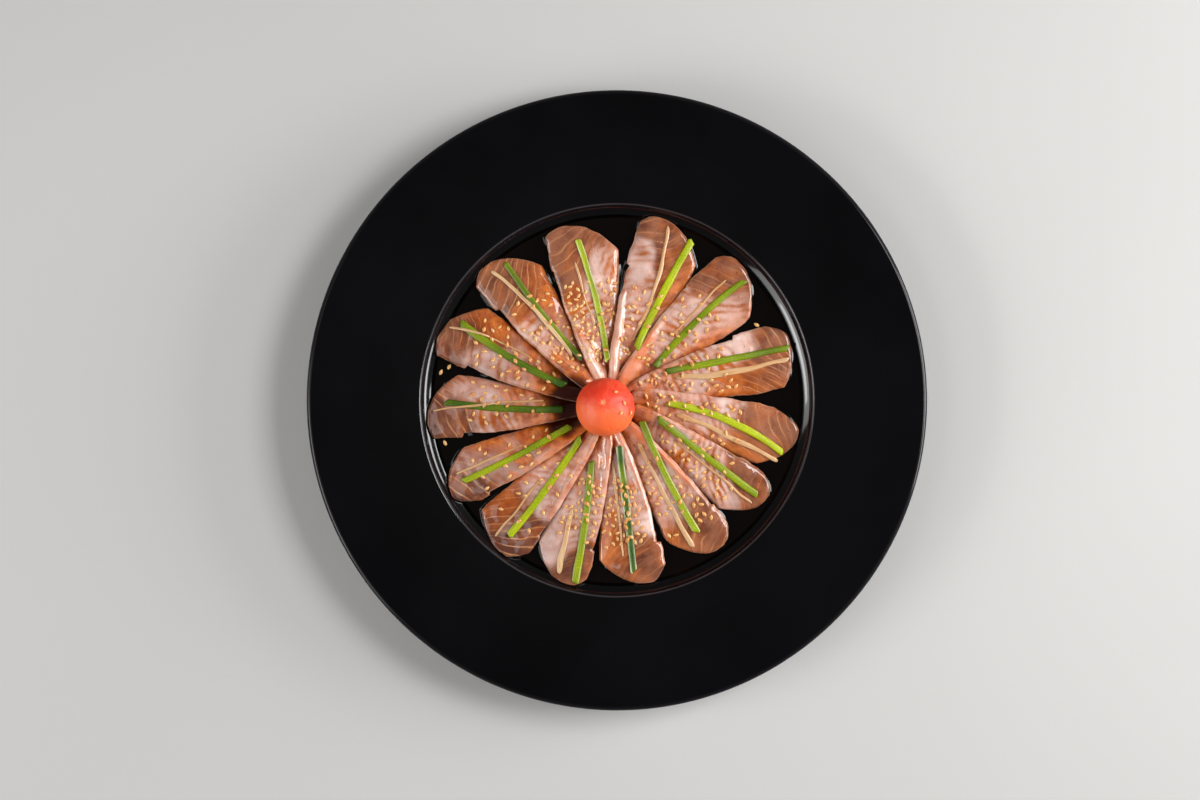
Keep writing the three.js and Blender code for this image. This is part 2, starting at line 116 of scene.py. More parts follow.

# A strip runs from its outer to its inner end, each given as (bearing, distance from the rosette's middle).
# bow: how far its middle stands to the right. tone: from 0 dark to 1 light green. split: a hollow stalk
# cut open, with its white cut edges up.
# The white of the cut edges is partly the stalk's own pale cut and partly a painted highlight along it.
Strip = namedtuple("Strip", "outer inner bow width tone split")
CHIVES = [
    Strip((99.3, 82.8), (86.7, 22.5), 1.6, 3.1, 0.85, 0.9),
    Strip((62.4, 91.5), (62, 32), -0.9, 3.6, 0.9, 0),
    Strip((42.2, 91.7), (38.8, 31), -2.2, 3.4, 0.45, 0),
    Strip((17.9, 94), (30.3, 34), 0, 3.3, 0.4, 0),
    Strip((-14.5, 89.4), (3.9, 30), -4, 3.5, 1, 0),
    Strip((-30, 85.7), (-12, 26), 0.4, 3.5, 0.55, 0),
    Strip((-53.7, 75.5), (-21, 19), 1.3, 3.5, 0.6, 0.35),
    Strip((-80.1, 81.4), (-70, 20), 0, 3.6, 0.15, 1),
    Strip((-99.7, 87), (-103.9, 27), -0.8, 3.6, 0.5, 0.25),
    Strip((-126.8, 78.2), (-128.7, 19), -1.2, 3.6, 0.8, 0),
    Strip((-152.4, 78.2), (-151.1, 19), -0.8, 3.3, 0.6, 0),
    Strip((178.2, 78), (-177.1, 20), -1.4, 3.4, 0.15, 0),
    Strip((149.8, 81.4), (151.6, 22), -2, 3.8, 0.25, 0),
    Strip((124.7, 85.5), (115.6, 26), -1.3, 2.9, 0.3, 0.1),
]
GINGERS = [
    Strip((101.8, 72), (97.2, 39), 0, 1.2, 0.3, 0),
    Strip((70.7, 93.2), (67.6, 35.5), 2.6, 1.7, 0.45, 0),
    Strip((46.5, 85.3), (47.7, 46), 0.2, 1.3, 0.3, 0),
    Strip((14.6, 92.5), (22.6, 37), 1.6, 2.6, 0.6, 0),
    Strip((-17.4, 88.2), (-5.6, 35), -1, 2.3, 0.5, 0),
    Strip((-33.2, 85.4), (-26, 37), -0.4, 1.3, 0.3, 0),
    Strip((-57.9, 80.5), (-47, 24), 0.6, 2.2, 0.5, 0),
    Strip((-83.1, 73.2), (-81.8, 26), 0.2, 1.4, 0.6, 0),
    Strip((-105.6, 84.1), (-108, 52), 0, 2.4, 0.7, 0),
    Strip((-130.4, 82.5), (-131.6, 46), 0, 1.2, 0.4, 0),
    Strip((-155.8, 79.5), (-155.5, 44), 0, 1.2, 0.4, 0),
    Strip((-178.8, 83.5), (174, 30), 0.8, 1.1, 0.4, 0),
    Strip((152.9, 85.2), (146.6, 44), 2.4, 1.1, 0.4, 0),
    Strip((129.9, 86.2), (122.6, 29.5), 2.6, 1.9, 0.9, 0),
]
# bridging: how long a hollow a strip spans. taper: the length of its narrowed ends. wander: how far it strays
# from its line. uneven: how much its width varies. cut: how slanted its ends are.
CHIVE = dict(thickness=1.0, across=14, along=90, bridging=3, taper=0.5, wander=0.25, uneven=0.15, cut=0.22)
GINGER = dict(thickness=0.5, across=8, along=80, bridging=1.5, taper=2.6, wander=0.9, uneven=0.45, cut=0.2)

TOMATO = dict(radius=14.4, squash=0.93, height=28.9, around=112, up=72)
SCAR = (-0.9, 2.4)  # the tomato's blossom scar, from the middle of its top

SEED = dict(length=3.1, width=1.9, height=1.4, sunk=0.35, around=8, up=6, clearance=2, spacing=3)
LOOSE_SEED = (1.1, 1.8)  # clearance and spacing of the seeds beyond as many as the solids hold
SEED_TRIES = 1500  # places tried on a slice, at most
EVEN_STEPS = (0.5698403, 0.7548777)  # steps along and across a slice that fill it evenly
TURN_STEP = 0.618034  # step that spreads the seeds' directions evenly
TOAST_STEP = 0.7548  # step that spreads how toasted they are
SAUCE_SEEDS = [(165.5, 78.5), (168, 81.8), (192.6, 80), (28.5, 84)]  # (bearing, distance from the rosette)
TOMATO_SEEDS = [(55, 38), (12, 40), (-20, 34), (-12, 60)]  # (bearing, degrees down from the top)

# The studio, in metres, degrees and watts. A softbox is given by its name, bearing, elevation, distance,
# size, power and spread.
FLOOR_SIZE = 3.2
WORLD_LIGHT = 0.06
CAMERA = dict(place=(-0.00817, 0.00015, 1.392), lens=85, sensor_width=36)
SOFTBOXES = [
    ("key_softbox", 14, 48, 1.4, (0.7, 0.5), 14, 180),
    ("back_fill", 190, 60, 1.4, (1.0, 0.5), 2.8, 180),
    ("right_low_softbox", 4, 17, 1.25, (0.9, 0.44), 4.5, 90),
    ("left_low_reflector", 198, 26, 1.3, (1.1, 0.6), 2.4, 90),
    ("left_strip", 195, 32, 1.25, (0.6, 0.16), 0.65, 90),
]


# ------------------------------------------------------------------ small helpers

def clamp(x, low=0.0, high=1.0):
    return min(high, max(low, x))


def mix(a, b, t):
    return a + (b - a) * t


def smooth(start, end, x):
    t = clamp((x - start) / (end - start))
    return t * t * (3 - 2 * t)


def fraction(x):
    return x - math.floor(x)


def turn_between(bearing, other):
    """How far a bearing is anticlockwise of another one, from -180 to 180 degrees."""
    return 360 * (fraction((bearing - other) / 360 + 0.5) - 0.5)


def ripple(x, y, size, seed=0.0):
    """Smooth unevenness from -1 to 1, whose bumps are about size wide."""
    return noise.noise(Vector((x / size, y / size, 3.7 * seed + 0.31)))


def from_rosette(bearing, distance):
    angle = math.radians(bearing)
    return ROSETTE[0] + distance * math.cos(angle), ROSETTE[1] + distance * math.sin(angle)


def arc(centre_r, centre_z, radius, start, end, steps):
    """Points of an arc in the profile plane, as (radius, height), between two angles in degrees."""
    angles = [math.radians(mix(start, end, i / steps)) for i in range(steps + 1)]
    return [(centre_r + radius * math.cos(a), centre_z + radius * math.sin(a)) for a in angles]


# ------------------------------------------------------------------ shaders

class Value:
    """An output of a shader's node that can be used in sums, as a number can."""

    def __init__(self, shader, socket):
        self.shader, self.socket = shader, socket

    def math(self, operation, *others):
        inputs = dict(enumerate([self, *others]))
        return self.shader.node("Math", {"operation": operation}, inputs)

    def __add__(self, other):
        return self.math("ADD", other)

    def __sub__(self, other):
        return self.math("SUBTRACT", other)

    def __rsub__(self, other):
        return self.shader.node("Math", {"operation": "SUBTRACT"}, {0: other, 1: self})

    def __mul__(self, other):
        return self.math("MULTIPLY", other)

    __radd__, __rmul__ = __add__, __mul__

    def between(self, start, end):
        """0 below start and 1 above end, smooth in between. start may be above end."""
        settings = {"interpolation_type": "SMOOTHSTEP"}
        if start < end:
            return self.shader.node("MapRange", settings, {0: self, 1: start, 2: end, 3: 0.0, 4: 1.0})
        return self.shader.node("MapRange", settings, {0: self, 1: end, 2: start, 3: 1.0, 4: 0.0})

    def blend(self, colour, other):
        """colour where this is 0 and other where it is 1."""
        settings = {"data_type": "RGBA", "clamp_factor": True}
        return self.shader.node("Mix", settings, {0: self, 6: colour, 7: other}, 2)


class Shader:
    """A material made of nodes, ending in one Principled shader."""

    def __init__(self, name, **constants):
        self.material = bpy.data.materials.new(name)
        self.material.use_nodes = True
        self.tree = self.material.node_tree
        self.skin = self.tree.nodes["Principled BSDF"]
        for key, value in constants.items():
            self.skin.inputs[key.replace("_", " ")].default_value = value

    def node(self, kind, settings, inputs, output=0):
        """Adds a node, with its settings set first and then its input sockets, and gives one output."""
        node = self.tree.nodes.new("ShaderNode" + kind)
        for key, value in settings.items():
            setattr(node, key, value)
        for key, value in inputs.items():
            if isinstance(value, Value):
                self.tree.links.new(value.socket, node.inputs[key])
            else:
                node.inputs[key].default_value = value
        return Value(self, node.outputs[output])

    def place(self):
        return self.node("TexCoord", {}, {}, "Object")

    def along_surface(self):
        return self.node("UVMap", {"uv_map": "along"}, {})

    def look(self, name="look"):
        """Three looks stored on a piece's points."""
        stored = self.node("Attribute", {"attribute_name": name}, {}, "Color")
        parts = self.node("SeparateColor", {}, {0: stored})
        outputs = parts.socket.node.outputs
        return [Value(self, outputs[i]) for i in range(3)]

    def parts(self, vector):
        outputs = self.node("SeparateXYZ", {}, {0: vector}).socket.node.outputs
        return [Value(self, outputs[i]) for i in range(3)]

    def stretched(self, vector, scale):
        return self.node("Mapping", {}, {"Vector": vector, "Scale": scale})

    def speckle(self, vector, scale, detail=3.0, rough=0.55):
        """Uneven grey from about 0.2 to 0.8."""
        inputs = {"Vector": vector, "Scale": scale, "Detail": detail, "Roughness": rough}
        return self.node("TexNoise", {}, inputs, "Fac")

    def finish(self, colour, bumps=None, height=0.0001, strength=1.0, **linked):
        """Links what varies over the surface to the shader."""
        linked["Base_Color"] = colour
        if bumps is not None:
            inputs = {"Height": bumps, "Distance": height, "Strength": strength}
            linked["Normal"] = self.node("Bump", {}, inputs)
        for key, value in linked.items():
            self.tree.links.new(value.socket, self.skin.inputs[key.replace("_", " ")])
        return self.material


def colour(red, green, blue):
    """A colour given as it shows on screen, from 0 to 255, as the shader's linear colour."""
    def linear(c):
        c /= 255
        return c / 12.92 if c <= 0.04045 else ((c + 0.055) / 1.055) ** 2.4
    return linear(red), linear(green), linear(blue), 1.0


def glaze_material():
    """Black glaze: satin with a fine tooth on the rim, glossy in the well, with a grey line of painted
    highlight on the lips.
    """
    glaze = Shader("black_glaze", Specular_IOR_Level=0.03, Coat_Roughness=0.08, Coat_IOR=1.5)
    gloss, lip, wall = glaze.look()
    place = glaze.place()
    clouds = glaze.speckle(place, 14, 4)
    tooth = glaze.speckle(place, 2600, 2)
    drips = glaze.speckle(place, 130, 2)
    tone = clouds.between(0.3, 0.7).blend(colour(3, 3, 4), colour(7, 6, 8))
    # the grey lip line is a painted highlight
    tone = lip.blend(tone, colour(56, 55, 59))
    roughness = clouds * 0.06 + tooth * 0.08 + 0.45
    bumps = tooth * (1 - gloss) * 0.1 + drips * wall
    return glaze.finish(tone, bumps, 0.0006, 0.5, Roughness=roughness, Coat_Weight=gloss)


def sauce_material():
    """Dark citrus sauce: near black where it is deep, red brown in the gaps near the middle."""
    sauce = Shader("citrus_sauce", IOR=1.45, Coat_Weight=0.0)
    near_middle, thin, _ = sauce.look()
    swirl = sauce.speckle(sauce.place(), 60, 2)
    tone = near_middle.blend(colour(7, 4, 3), colour(112, 34, 8))
    tone = (thin * swirl.between(0.4, 0.7)).blend(tone, colour(30, 14, 7))
    return sauce.finish(tone, Roughness=swirl * 0.04 + 0.03)


def fish_material():
    """Wet raw white fish: clear brown tips with pale seams, milky pillows in the middle and soaked amber
    folds, with a painted highlight along each outline and the tomato's painted shadow to its left."""
    fish = Shader(
        "raw_fish", IOR=1.42, Subsurface_Weight=0.3, Subsurface_Radius=(1.0, 0.42, 0.24),
        Subsurface_Scale=0.0014, Specular_IOR_Level=0.3, Coat_Roughness=0.05, Coat_IOR=1.5,
    )
    pale, band, soak_and_shadow = fish.look()
    warm, edge, lines = fish.look("hue")
    bulge, light, _ = fish.look("form")
    place = fish.place()
    grain = fish.along_surface()
    _, flakes, _ = fish.parts(grain)
    cloud = fish.speckle(place, 90, 3)
    patches = fish.speckle(place, 230, 3)
    beads = fish.speckle(place, 430, 2)
    fine = fish.speckle(place, 1000, 3, 0.6)
    bend = fish.speckle(place, 260, 2)
    phase = (flakes * SLICE_MAP[1] + bend * 0.35).math("PINGPONG", 0.5)
    each = fish.speckle(fish.stretched(grain, (7, 34, 1)), 1, 1.5)
    line = phase.between(0.13, 0.01) * lines
    fibres = fish.speckle(fish.stretched(grain, (20, 2.2, 1)), 6, 3, 0.55)
    # light: how light the slice's tip is, set lower on the left slices as painted shade
    flake_tone = (each * 0.5 + cloud * 0.5 + light * 0.18).between(0.44, 0.74)
    cool_tip = flake_tone.blend(colour(98, 52, 36), colour(156, 98, 70))
    warm_tip = flake_tone.blend(colour(156, 74, 26), colour(210, 124, 68))
    clear = warm.blend(cool_tip, warm_tip)
    milk = (bulge * 0.6 + cloud * 0.5 + patches * 0.35).between(0.68, 1.14)
    flesh = milk.blend(colour(180, 96, 32), colour(236, 207, 198))
    tone = pale.blend(clear, flesh)
    tone = (line * (1 - pale) * 0.7).blend(tone, colour(236, 172, 118))
    rolled = (fibres * 0.3 + cloud * 0.7).between(0.34, 0.56)
    rolled = rolled.blend(colour(196, 120, 76), colour(222, 188, 172))
    tone = (band * 0.95).blend(tone, (warm * 0.75).blend(rolled, colour(220, 116, 62)))
    sauced = patches.between(0.35, 0.65).blend(colour(168, 68, 3), colour(222, 120, 28))
    tone = (soak_and_shadow * (0.88 - bulge * pale * 0.4)).blend(tone, sauced)
    # near black where the look runs above 1: the tomato's painted shadow
    tone = soak_and_shadow.between(0.95, 1.9).blend(tone, colour(52, 12, 1))
    # painted highlight along each slice's outline
    tone = (edge * 0.45).blend(tone, colour(222, 172, 142))
    bumps = fine * 0.2 + fibres * 0.35 + patches * 0.8 + beads.between(0.62, 0.76) * 1.2
    roughness = fine * 0.25 + 0.2
    wet = cloud.between(0.2, 0.6) * 0.2 + 0.8
    return fish.finish(tone, bumps, 0.0003, 0.9, Roughness=roughness, Coat_Weight=wet)


def chive_material():
    """Fresh green stalk with fine ribs along it."""
    chive = Shader("green_chive", Subsurface_Weight=0.15, Subsurface_Radius=(0.5, 1.0, 0.2),
                   Subsurface_Scale=0.001, Specular_IOR_Level=0.3, Coat_Roughness=0.16, Coat_Weight=0.12)
    tone, cut, _ = chive.look()
    along = chive.along_surface()
    ribs = chive.speckle(chive.stretched(along, (30, 0.7, 1)), 1, 3, 0.65)
    patches = chive.speckle(chive.stretched(along, (3, 6, 1)), 2, 3)
    green = tone.blend(colour(60, 98, 4), colour(196, 206, 24))
    deep = tone.blend(colour(28, 56, 1), colour(140, 154, 4))
    base = (ribs * 0.6 + patches * 0.4).between(0.36, 0.62).blend(deep, green)
    # pale cut edges, partly real and partly a painted highlight along the split stalks
    base = (cut * (0.6 + 0.6 * patches)).blend(base, colour(222, 226, 188))
    return chive.finish(base, ribs, 0.00012, 0.8, Roughness=ribs * 0.25 + 0.22)


def ginger_material():
    """Pale yellow root cut in strips, with darker threads along it."""
    ginger = Shader("ginger_root", Subsurface_Weight=0.3, Subsurface_Radius=(1.0, 0.6, 0.25),
                    Subsurface_Scale=0.0012, Coat_Roughness=0.08, Coat_Weight=0.6)
    tone, _, _ = ginger.look()
    along = ginger.along_surface()
    threads = ginger.speckle(ginger.stretched(along, (14, 0.8, 1)), 1, 3, 0.6)
    base = tone.blend(colour(198, 144, 90), colour(226, 194, 152))
    base = (threads.between(0.44, 0.64) * 0.8).blend(base, colour(196, 134, 72))
    return ginger.finish(base, threads, 0.00012, 0.8, Roughness=threads * 0.25 + 0.2)


def tomato_material():
    """Peeled tomato: darker red towards the top of the view and lighter orange towards the bottom, fine
    threads running to the scar.
    """
    tomato = Shader("peeled_tomato", Subsurface_Weight=0.4, Subsurface_Radius=(1.0, 0.25, 0.1),
                    Subsurface_Scale=0.004, Coat_Roughness=0.4, Coat_Weight=0.2)
    orange, scar, threads = tomato.look()
    place = tomato.place()
    cloud = tomato.speckle(place, 120, 3)
    fine = tomato.speckle(place, 800, 3)
    base = (orange + cloud * 0.4 - 0.2).between(0.0, 1.0).blend(colour(234, 56, 24), colour(252, 108, 50))
    base = ((threads * 0.6 + cloud * 0.4).between(0.4, 0.75) * 0.5).blend(base, colour(246, 104, 66))
    base = scar.blend(base, colour(250, 168, 104))
    return tomato.finish(base, fine * 0.6 + threads * 0.8, 0.00025, 0.8, Roughness=fine * 0.3 + 0.4)


def seed_material():
    """Toasted sesame."""
    sesame = Shader("toasted_sesame", Subsurface_Weight=0.15, Subsurface_Radius=(1.0, 0.6, 0.3),
                    Subsurface_Scale=0.0008, Coat_Weight=0.35, Coat_Roughness=0.15)
    toast, tip, _ = sesame.look()
    fine = sesame.speckle(sesame.place(), 1500, 3)
    base = toast.blend(colour(244, 204, 134), colour(218, 142, 66))
    base = (tip * 0.5).blend(base, colour(184, 106, 42))
    return sesame.finish(base, fine, 0.00008, 0.6, Roughness=fine * 0.3 + 0.3)


# ------------------------------------------------------------------ meshes

def make_piece(name, mesh, material, slot, nodes, looks, along=None, **more_looks):
    """Makes an object of a bmesh whose points are in millimetres. nodes: the solids that it stands for.
    looks and more_looks: three looks for each point. along: a place along the surface for each point."""
    bmesh.ops.transform(mesh, matrix=Matrix.Scale(MM, 4), verts=mesh.verts)
    data = bpy.data.meshes.new(name)
    mesh.verts.index_update()
    mesh.to_mesh(data)
    mesh.free()
    data.shade_smooth()
    for key, values in {"look": looks, **more_looks}.items():
        stored = data.attributes.new(key, "FLOAT_COLOR", "POINT")
        for point, (a, b, c) in zip(stored.data, values):
            point.color = (a, b, c, 1.0)
    if along is not None:
        layer = data.uv_layers.new(name="along")
        for loop in data.loops:
            layer.uv[loop.index].vector = along[loop.vertex_index]
    data.materials.append(material)
    piece = bpy.data.objects.new(name, data)
    bpy.context.scene.collection.objects.link(piece)
    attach(piece, "root")
    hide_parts(*nodes)
    return piece


def slab(across, along):
    """A closed sheet of cells, 2 wide and 2 long, 1 thick, with its underside at 0."""
    mesh = bmesh.new()
    bmesh.ops.create_grid(mesh, x_segments=across, y_segments=along, size=1.0)
    lifted = bmesh.ops.extrude_face_region(mesh, geom=mesh.faces[:], use_keep_orig=True)["geom"]
    top = [item for item in lifted if isinstance(item, bmesh.types.BMVert)]
    bmesh.ops.translate(mesh, vec=(0, 0, 1), verts=top)
    bmesh.ops.recalc_face_normals(mesh, faces=mesh.faces)
    return mesh


def turned(profile, around):
    """A closed body made by turning a profile of (radius, height) round the plate's axis."""
    mesh = bmesh.new()
    points = [mesh.verts.new((r, 0, z)) for r, z in profile]
    edges = [mesh.edges.new(pair) for pair in zip(points, points[1:])]
    bmesh.ops.spin(
        mesh, geom=points + edges, cent=(0, 0, 0), axis=(0, 0, 1), angle=TURN, steps=around,
        use_merge=True, use_duplicate=False,
    )
    bmesh.ops.remove_doubles(mesh, verts=mesh.verts, dist=1e-5)
    bmesh.ops.recalc_face_normals(mesh, faces=mesh.faces)
    return mesh


# ------------------------------------------------------------------ plate

CURVE_HEIGHT = PLATE["floor_height"] + PLATE["wall_curve"]


def well_height(radius):
    """The height of the well's surface at a distance from the plate's centre."""
    reach = PLATE["wall_curve"] * math.sin(math.radians(PLATE["wall_slope"]))
    beyond = clamp(radius - PLATE["floor_radius"], 0, reach)
    return CURVE_HEIGHT - math.sqrt(PLATE["wall_curve"] ** 2 - beyond ** 2)


def make_plate():
    """The plate, turned from one profile that runs out along its underside and back over its top."""
    p = PLATE
    base = p["floor_height"] - p["thickness"]
    under_edge = p["well_edge_height"] - p["thickness"]
    curve_end = p["wall_slope"] - 90
    half = p["foot_width"] / 2
    foot = p["foot_radius"] - half
    tread = p["foot_rounding"]
    inner, outer = p["foot_fillets"]
    rounding = p["well_edge_rounding"]
    lip = p["lip_radius"]
    profile = [
        (0, p["foot_recess"]),
        *[(r, p["foot_recess"]) for r in (25, 50, 66)],
        *arc(foot - half - 2 * inner, p["foot_recess"] - inner, inner, 90, 20, 3),
        *arc(foot - half + tread, tread, tread, 190, 270, 4),
        *arc(foot + half - tread, tread, tread, 270, 350, 4),
        *arc(foot + half + 2 * outer, base - outer, outer, 160, 95, 3),
        *arc(p["floor_radius"], CURVE_HEIGHT, p["wall_curve"] + p["thickness"], -80, curve_end, 10),
        (p["well_radius"] + p["thickness"] + 2, under_edge),
        (mix(p["well_radius"], p["radius"], 0.5), mix(under_edge, p["rim_height"] - 2 * lip, 0.52)),
        *arc(p["radius"] - lip, p["rim_height"] - lip, lip, -85, 96, 16),
        *arc(p["well_radius"] + rounding, p["well_edge_height"] - rounding, rounding, 98, 172, 10),
        *arc(p["floor_radius"], CURVE_HEIGHT, p["wall_curve"], curve_end, -90, 22),
        *[(r, p["floor_height"]) for r in (60, 40, 20)],
        (0, p["floor_height"]),
    ]
    mesh = turned(profile, p["around"])
    looks = []
    for point in mesh.verts:
        radius = point.co.xy.length
        in_well = 1 - smooth(p["well_radius"] + 0.9, p["well_radius"] + 1.5, radius)
        on_lip = 0.5 * math.exp(-((radius - p["radius"] + 0.9) / 0.9) ** 2)
        # a grey line of painted highlight just past the well's edge, fainter on the outer lip
        lip_highlight = math.exp(-((radius - p["well_radius"] - 0.35) / 0.32) ** 2)
        wall = smooth(p["floor_radius"] + 2, p["floor_radius"] + 6, radius) * (1 - smooth(90, 92.5, radius))
        looks.append((in_well + on_lip, lip_highlight + 0.3 * on_lip, wall if point.co.z > p["floor_height"] else 0.0))
    return make_piece("plate_glazed", mesh, glaze_material(), "plate", ["plate"], looks)


# ------------------------------------------------------------------ fish slices

def neighbour(index, offset):
    return SLICES[(index + offset) % len(SLICES)]


def half_width(piece, along):
    growth = clamp((along - FISH["inner_radius"]) / (FISH["shoulder"] - FISH["inner_radius"]))
    return mix(FISH["inner_half"], piece.half, growth ** FISH["widening"])


def shift(piece, along):
    return piece.lean * (1 - along / piece.reach)


def tip_reach(piece, p):
    """How far the tip's outline reaches at p across the slice, from -1 left to 1 right."""
    peak, roundness = FISH["peak"], FISH["tip_roundness"]
    left = piece.left * max(0, (peak - p) / (1 + peak)) ** roundness
    right = piece.right * max(0, (p - peak) / (1 - peak)) ** roundness
    return piece.reach - left - right


def slices_from(index, bearing):
    """How many slices lie between a slice's middle line and a bearing, clockwise."""
    here = SLICES[index].bearing
    off = turn_between(here, bearing)
    if off > 0:
        return off / (360 * fraction((here - neighbour(index, 1).bearing) / 360))
    return off / (360 - 360 * fraction((here - neighbour(index, -1).bearing) / 360))


def underside(index, x, y):
    """The height of a slice's underside at a point of the plate, before its edges curl."""
    f = FISH
    dx, dy = x - ROSETTE[0], y - ROSETTE[1]
    radius = math.hypot(dx, dy)
    spread = mix(*f["spread"], smooth(f["inner_radius"], f["spread_until"], radius))
    slope = mix(1, f["relaxed"], smooth(f["relax_from"], f["relax_to"], radius))
    steps = max(0, spread - slices_from(index, math.degrees(math.atan2(dy, dx))))
    return max(f["bed"] + steps * f["step"] * slope, well_height(math.hypot(x, y)) + f["wall_gap"])


def flakes_at(index, along, across):
    """How many flakes of muscle lie between the slice's inner end and a point. The flakes are wider at the
    tip, where their seams rise to the right."""
    wide = along - 0.3 * 4 * math.log1p(math.exp((along - 54) / 4))
    rise = 0.3 * across + smooth(40, 72, along) * 1.1 * math.log1p(math.exp(across * 0.5))
    bend = 4 * ripple(along, across, 19, index) + 0.7 * ripple(along, across, 7, index)
    return (wide - rise + bend) / FLAKE


def paleness(index, p, along, across):
    """How milky and little soaked the flesh is at a point, from 0 to about 1."""
    piece = SLICES[index]
    end = mix(*piece.pale, smooth(-0.55, 0.5, p)) + 4.5 * ripple(across, along, 7, index + 20)
    soft = mix(2.2, 7, smooth(-0.6, 0.2, p))
    inside = smooth(10, 28, along) * (1 - smooth(end - soft, end + soft, along))
    edge = 1 - 0.75 * piece.rich * smooth(0.45, 0.9, p + 0.15 * ripple(along, across, 8, index))
    # shade[0] is lower on the left slices, partly as painted shade
    return inside * edge * (0.9 + 0.3 * ripple(along, across, 9, index + 40)) * piece.shade[0]


def roll_width(index, along):
    """The rolled left edge widens towards the middle."""
    _, until, width = SLICES[index].fold
    return width * mix(1.15, 0.6, smooth(14, until, along))


def roll(index, along, from_left):
    """How much of the rolled left edge there is at a point."""
    strength, until, _ = SLICES[index].fold
    inside = smooth(10, 15, along) * (1 - smooth(until - 12, until + 8, along))
    width = roll_width(index, along) * (1 + 0.25 * ripple(along, index * 9, 8, 70))
    return strength * inside * math.sin(math.pi * clamp((from_left + 0.15 * width) / (2.3 * width))) ** 0.8


def hollow(index, along, from_left):
    """How deep in the sauce-filled hollow beside the rolled edge a point lies."""
    start = 2 * roll_width(index, along)
    wander = 6 * ripple(along, from_left, 7, index + 30)
    return smooth(start, start + 3, from_left) * (1 - smooth(22 + wander, 42 + wander, along))


def pillows(index, along, across, from_left):
    """Bulging flakes, each split across into two or three pillows, from 0 in their seams to 1 on top."""
    flake = flakes_at(index, along, across) + 0.35 * ripple(along, across, 4.5, index + 11)
    along_it = abs(math.sin(math.pi * flake)) ** 0.9
    across_it = abs(math.sin(math.pi * (from_left / 6.5 + 0.37 * math.floor(flake) + 0.3 * index))) ** 0.6
    return along_it * mix(0.6, 1, across_it)


def painted_tomato_shadow(x, y):
    """How much painted shadow of the tomato lies on the slices at a point: it falls to the left of the
    tomato.
    """
    dx, dy = x - ROSETTE[0], y - ROSETTE[1]
    radius = math.hypot(dx, dy)
    leftness = smooth(0.3, 0.95, (-dx + 0.12 * dy) / max(radius, 1.0))
    return leftness * (1 - smooth(18, 42, radius + 6 * ripple(x, y, 8, 77)))


def curl_height(p, along):
    """How far the curl of the left edge lifts a point."""
    leftness = max(0.0, -p)
    until = FISH["curl_until"]
    return FISH["curl"] * leftness ** 4 * smooth(12, 22, along) * (1 - smooth(22, until, along))


def slice_top(index, p, along, x, y):
    """The height of a slice's upper surface."""
    f, piece = FISH, SLICES[index]
    half = half_width(piece, along)
    across = p * half
    reach = tip_reach(piece, p)
    tipness = clamp((along - f["inner_radius"]) / (reach - f["inner_radius"])) ** 8
    thickness = mix(f["thickness"], f["edge_thickness"], max(p ** 4, tipness))
    from_side, from_tip = (1 - abs(p)) * half, reach - along
    nearness = clamp(1 - min(from_side, from_tip) / 1.7)
    rounded = math.sqrt(1 - nearness ** 2 * 0.93)
    inner = clamp((along - f["inner_radius"]) / 2)
    from_left = (1 + p) * half
    pale = clamp(paleness(index, p, along, across))
    depth = mix(0.06, 0.34 * piece.lines[1], pale) * (0.8 + 0.8 * ripple(x, y, 9, index + 3))
    relief = depth * (pillows(index, along, across, from_left) - 0.7)
    relief += 0.5 * ripple(x, y, 9, index) + 0.22 * ripple(x, y, 4, index + 9)
    calm = smooth(0, 3, from_side) * smooth(0, 3, from_tip) * smooth(14, 26, along)
    rolled = roll(index, along, from_left)
    lift = 1.5 * rolled - 0.7 * hollow(index, along, from_left) * (1 - min(1, rolled))
    body = thickness * rounded * mix(0.6, 1, inner)
    return underside(index, x, y) + curl_height(p, along) + body + relief * calm + lift


# A point of a slice. p: its place across the slice, from -1 left to 1 right. along, across: its distance
# along and across the slice's middle line. half: half the slice's width there. x, y: its place on the plate.
Spot = namedtuple("Spot", "p along across half x y")


def notch_depth(piece, p, along):
    """How far the notch in the left edge moves a point in."""
    before = FISH["notch_at"] - along
    in_notch = clamp(1 - before / FISH["notch_length"]) if before > 0 else 0
    return piece.notch * in_notch * max(0.0, -p) ** 3


def slice_spot(index, s, t):
    """Where a point of the slab goes, from its place across and along the slab, each from -1 to 1."""
    piece = SLICES[index]
    p = mix(s, math.sin(s * math.pi / 2), 0.55)
    q = (t + 1) / 2
    q = mix(q, math.sin(q * math.pi / 2), 0.35)
    along = mix(FISH["inner_radius"] + 2 * p * p, tip_reach(piece, p), q)
    half = half_width(piece, along)
    edge = smooth(0.7, 1, max(abs(p), q))
    wobble = edge * (0.45 * ripple(along, p * 9, 6, index) + 0.22 * ripple(along, p * 9, 2.2, index + 5))
    across = shift(piece, along) + p * (half + wobble) + notch_depth(piece, p, along)
    along += edge * q ** 20 * (0.5 * ripple(across, 0, 5, index) + 0.25 * ripple(across, 4, 2, index))
    angle = math.radians(piece.bearing)
    x = ROSETTE[0] + along * math.cos(angle) + across * math.sin(angle)
    y = ROSETTE[1] + along * math.sin(angle) - across * math.cos(angle)
    return Spot(p, along, across, half, x, y)


